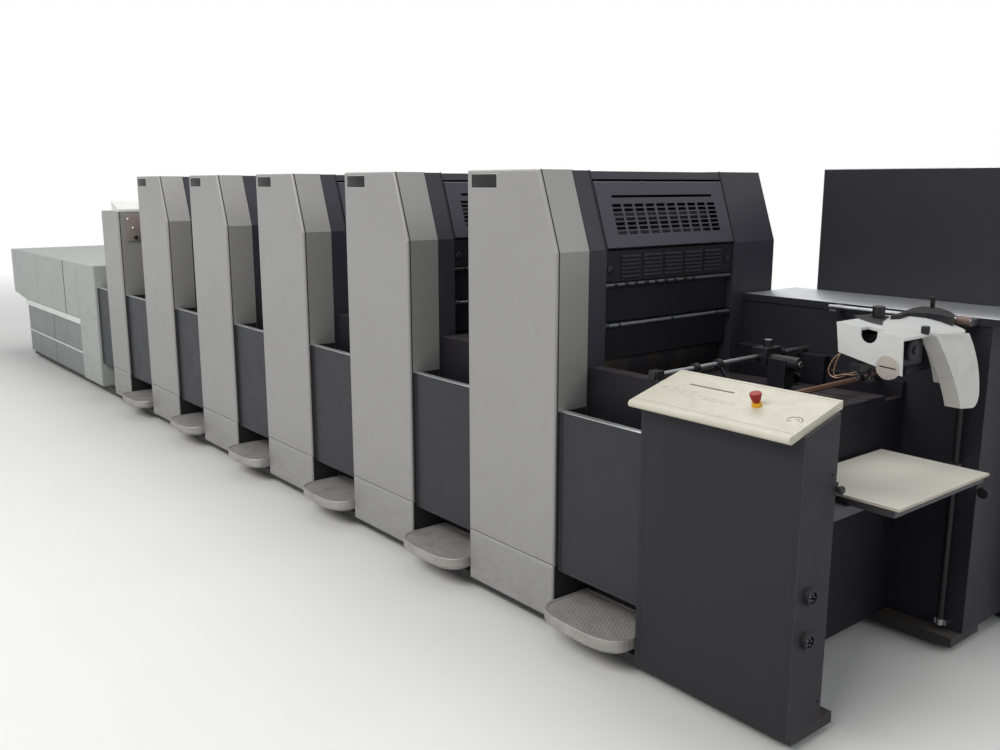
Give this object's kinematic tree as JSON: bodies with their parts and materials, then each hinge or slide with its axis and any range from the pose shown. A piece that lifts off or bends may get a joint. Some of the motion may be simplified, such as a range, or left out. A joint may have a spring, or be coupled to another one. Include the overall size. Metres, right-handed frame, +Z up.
{
  "type": "offset printing press",
  "caption": "Sheet-fed offset printing press with a row of printing units between foot steps, a delivery, a feeder with control desk and suction head, and an electrical cabinet.",
  "frame": {"origin": "centre of the object's footprint on the floor, at the bottom of its bounding box", "axes": "+X along the line towards the feeder, +Y towards the drive side, +Z up; the operator side faces -Y"},
  "size_m": [8.728, 1.856, 1.63],
  "materials": {
    "tower_paint": "satin metallic",
    "inner_paint": "satin",
    "guard_paint": "satin",
    "dark_paint": "satin",
    "panel_paint": "satin",
    "cabinet_paint": "satin",
    "delivery_paint": "satin",
    "base_iron": "matt",
    "frame_iron": "matt",
    "bright_steel": "brushed",
    "black_steel": "satin",
    "board_metal": "satin",
    "bright_trim": "satin",
    "blanket_rubber": "matt",
    "roller_rubber": "satin",
    "step_tread": "speckled",
    "console_plastic": "matt",
    "desk_plastic": "matt",
    "head_cover": "satin",
    "yellow_plastic": "gloss",
    "red_plastic": "gloss",
    "paper": "matt"
  },
  "bodies": {
    "press": {"base_rails": "base_iron", "levelling_feet": "base_iron", "operator_tower_1": "tower_paint", "operator_tower_2": "tower_paint", "operator_tower_3": "tower_paint", "operator_tower_4": "tower_paint", "operator_tower_5": "tower_paint", "operator_side_frames": "inner_paint", "drive_side_covers": "inner_paint", "rear_covers": "inner_paint", "top_covers": "inner_paint", "unit_beds": "frame_iron", "louvre_panels": "dark_paint", "guard_rods": "bright_steel", "steel_cylinders": "bright_steel", "blanket_cylinders": "blanket_rubber", "ink_rollers": "roller_rubber", "transfer_housings": "dark_paint", "tray_boxes": "dark_paint", "inter_unit_panels": "panel_paint", "foot_steps": "step_tread", "delivery_tower": "tower_paint", "delivery_console": "console_plastic", "delivery_hood": "delivery_paint", "delivery_doors": "panel_paint", "delivery_ledges": "bright_trim", "delivery_core": "dark_paint", "feeder_cabinet": "cabinet_paint", "control_desk": "desk_plastic", "stop_collar": "yellow_plastic", "feeder_drive_cabinet": "cabinet_paint", "feeder_frame": "dark_paint", "feed_board": "dark_paint", "side_lays": "black_steel", "feeder_guide_rods": "bright_steel", "electrical_cabinet": "cabinet_paint"},
    "guard_1": {"grille_guard_1": "guard_paint"},
    "guard_2": {"grille_guard_2": "guard_paint"},
    "guard_3": {"grille_guard_3": "guard_paint"},
    "guard_4": {"grille_guard_4": "guard_paint"},
    "guard_5": {"grille_guard_5": "guard_paint"},
    "stop_button": {"stop_button": "red_plastic"},
    "suction_head": {"suction_head_core": "black_steel", "suction_head_covers": "head_cover"},
    "pile": {"pile_board": "board_metal", "paper_pile": "paper"}
  },
  "joints": [
    {"name": "guard_1_hinge", "type": "hinge", "parent": "press", "child": "guard_1", "pos_m": [3.21067, -0.243, 1.57316], "axis": [0, -1, 0], "range_deg": [0, 100]},
    {"name": "guard_2_hinge", "type": "hinge", "parent": "press", "child": "guard_2", "pos_m": [2.33067, -0.243, 1.57316], "axis": [0, -1, 0], "range_deg": [0, 100]},
    {"name": "guard_3_hinge", "type": "hinge", "parent": "press", "child": "guard_3", "pos_m": [1.45067, -0.243, 1.57316], "axis": [0, -1, 0], "range_deg": [0, 100]},
    {"name": "guard_4_hinge", "type": "hinge", "parent": "press", "child": "guard_4", "pos_m": [0.57067, -0.243, 1.57316], "axis": [0, -1, 0], "range_deg": [0, 100]},
    {"name": "guard_5_hinge", "type": "hinge", "parent": "press", "child": "guard_5", "pos_m": [-0.30933, -0.243, 1.57316], "axis": [0, -1, 0], "range_deg": [0, 100]},
    {"name": "pile_lift", "type": "slide", "parent": "press", "child": "pile", "axis": [0, 0, 1], "range_m": [-0.47, 0.165]},
    {"name": "suction_head_slide", "type": "slide", "parent": "press", "child": "suction_head", "axis": [1, 0, 0], "range_m": [-0.26, 0]},
    {"name": "stop_button_push", "type": "slide", "parent": "press", "child": "stop_button", "axis": [0, 0.2641, -0.9645], "range_m": [0, 0.004], "stiffness_N_per_m": 3000, "springref_m": -0.002}
  ]
}
